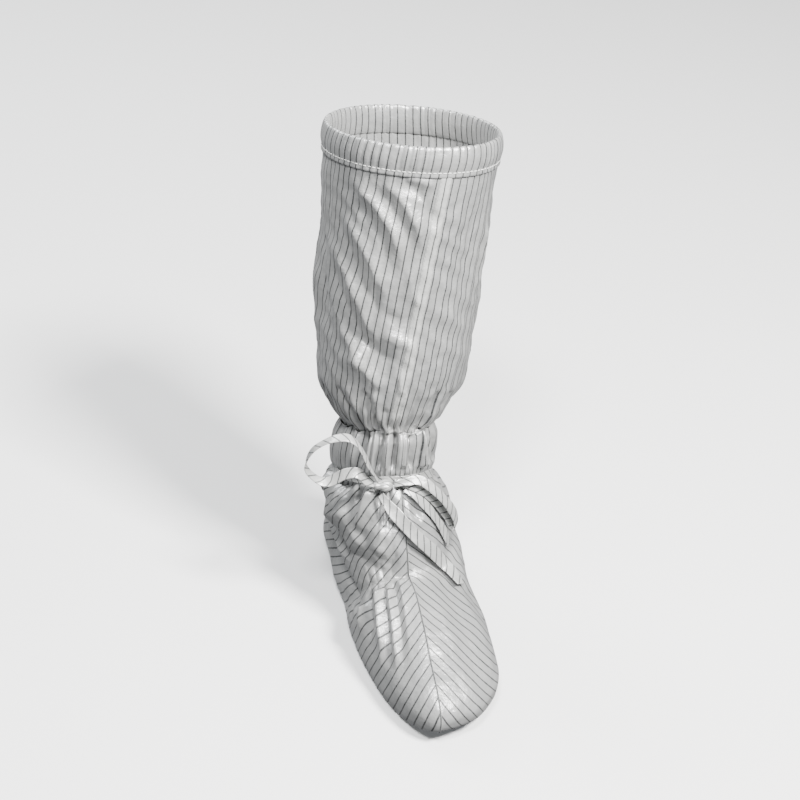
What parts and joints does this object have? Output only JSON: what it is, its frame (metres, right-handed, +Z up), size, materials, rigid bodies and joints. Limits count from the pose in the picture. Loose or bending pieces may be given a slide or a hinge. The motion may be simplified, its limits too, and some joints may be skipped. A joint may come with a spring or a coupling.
{
  "type": "antistatic boot",
  "caption": "Cloth antistatic overboot with a gathered foot, a tall striped shaft with an elastic top casing, a tape tied in a bow at the ankle and a soft sole.",
  "frame": {"origin": "on the floor, on the flat spot of the sole under the heel", "axes": "+Z up, -Y towards the toe, +X towards the outer side of the left foot"},
  "size_m": [0.1504, 0.311, 0.3903],
  "materials": {
    "cloth": "satin polyester with thin dark conductive stripes",
    "seam": "folded and stitched satin polyester",
    "tape": "folded satin polyester with thin dark stripes",
    "sole": "matt soft conductive sheet"
  },
  "bodies": {
    "root": {"sole": "sole", "upper": "cloth", "shaft": "cloth", "top_casing": "cloth", "shaft_seam": "seam", "vamp_seam": "seam", "tie_band": "tape", "tie_knot": "tape", "tie_loop_medial": "tape", "tie_loop_lateral": "tape", "tie_tail_long": "tape", "tie_tail_short": "tape"}
  },
  "joints": []
}
